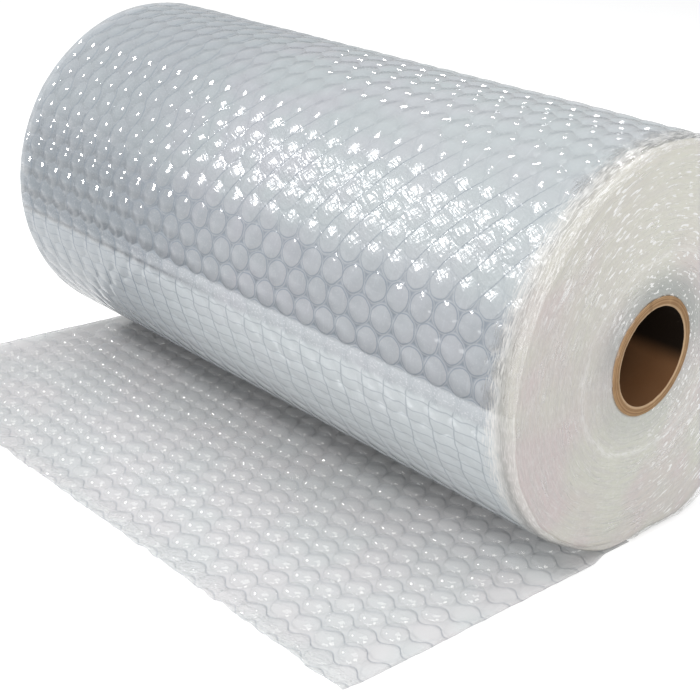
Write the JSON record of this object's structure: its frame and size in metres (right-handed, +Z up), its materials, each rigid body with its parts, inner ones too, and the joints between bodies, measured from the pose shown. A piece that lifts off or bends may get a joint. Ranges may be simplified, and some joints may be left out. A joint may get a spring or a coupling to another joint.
{
  "type": "bubble wrap roll",
  "caption": "Roll of clear bubble film wound on a kraft paper tube, lying on its side with its free end laid out flat, for padding and packing.",
  "frame": {"origin": "middle of the outline at floor level: halfway along the roll, and halfway between the back of the roll and the cut across the free end", "axes": "+X along the roll's axis, -Y the way the free end points, +Z up from the floor"},
  "size_m": [0.305, 0.226, 0.1596],
  "materials": {
    "kraft_paper": "matt brown kraft paper, wound in plies, with cut ply edges at the ends",
    "bubble_film": "clear glossy polyethylene film that looks pale grey where many turns lie together"
  },
  "bodies": {
    "root": {"core_tube": "kraft_paper", "bubble_web": "bubble_film"}
  },
  "joints": []
}
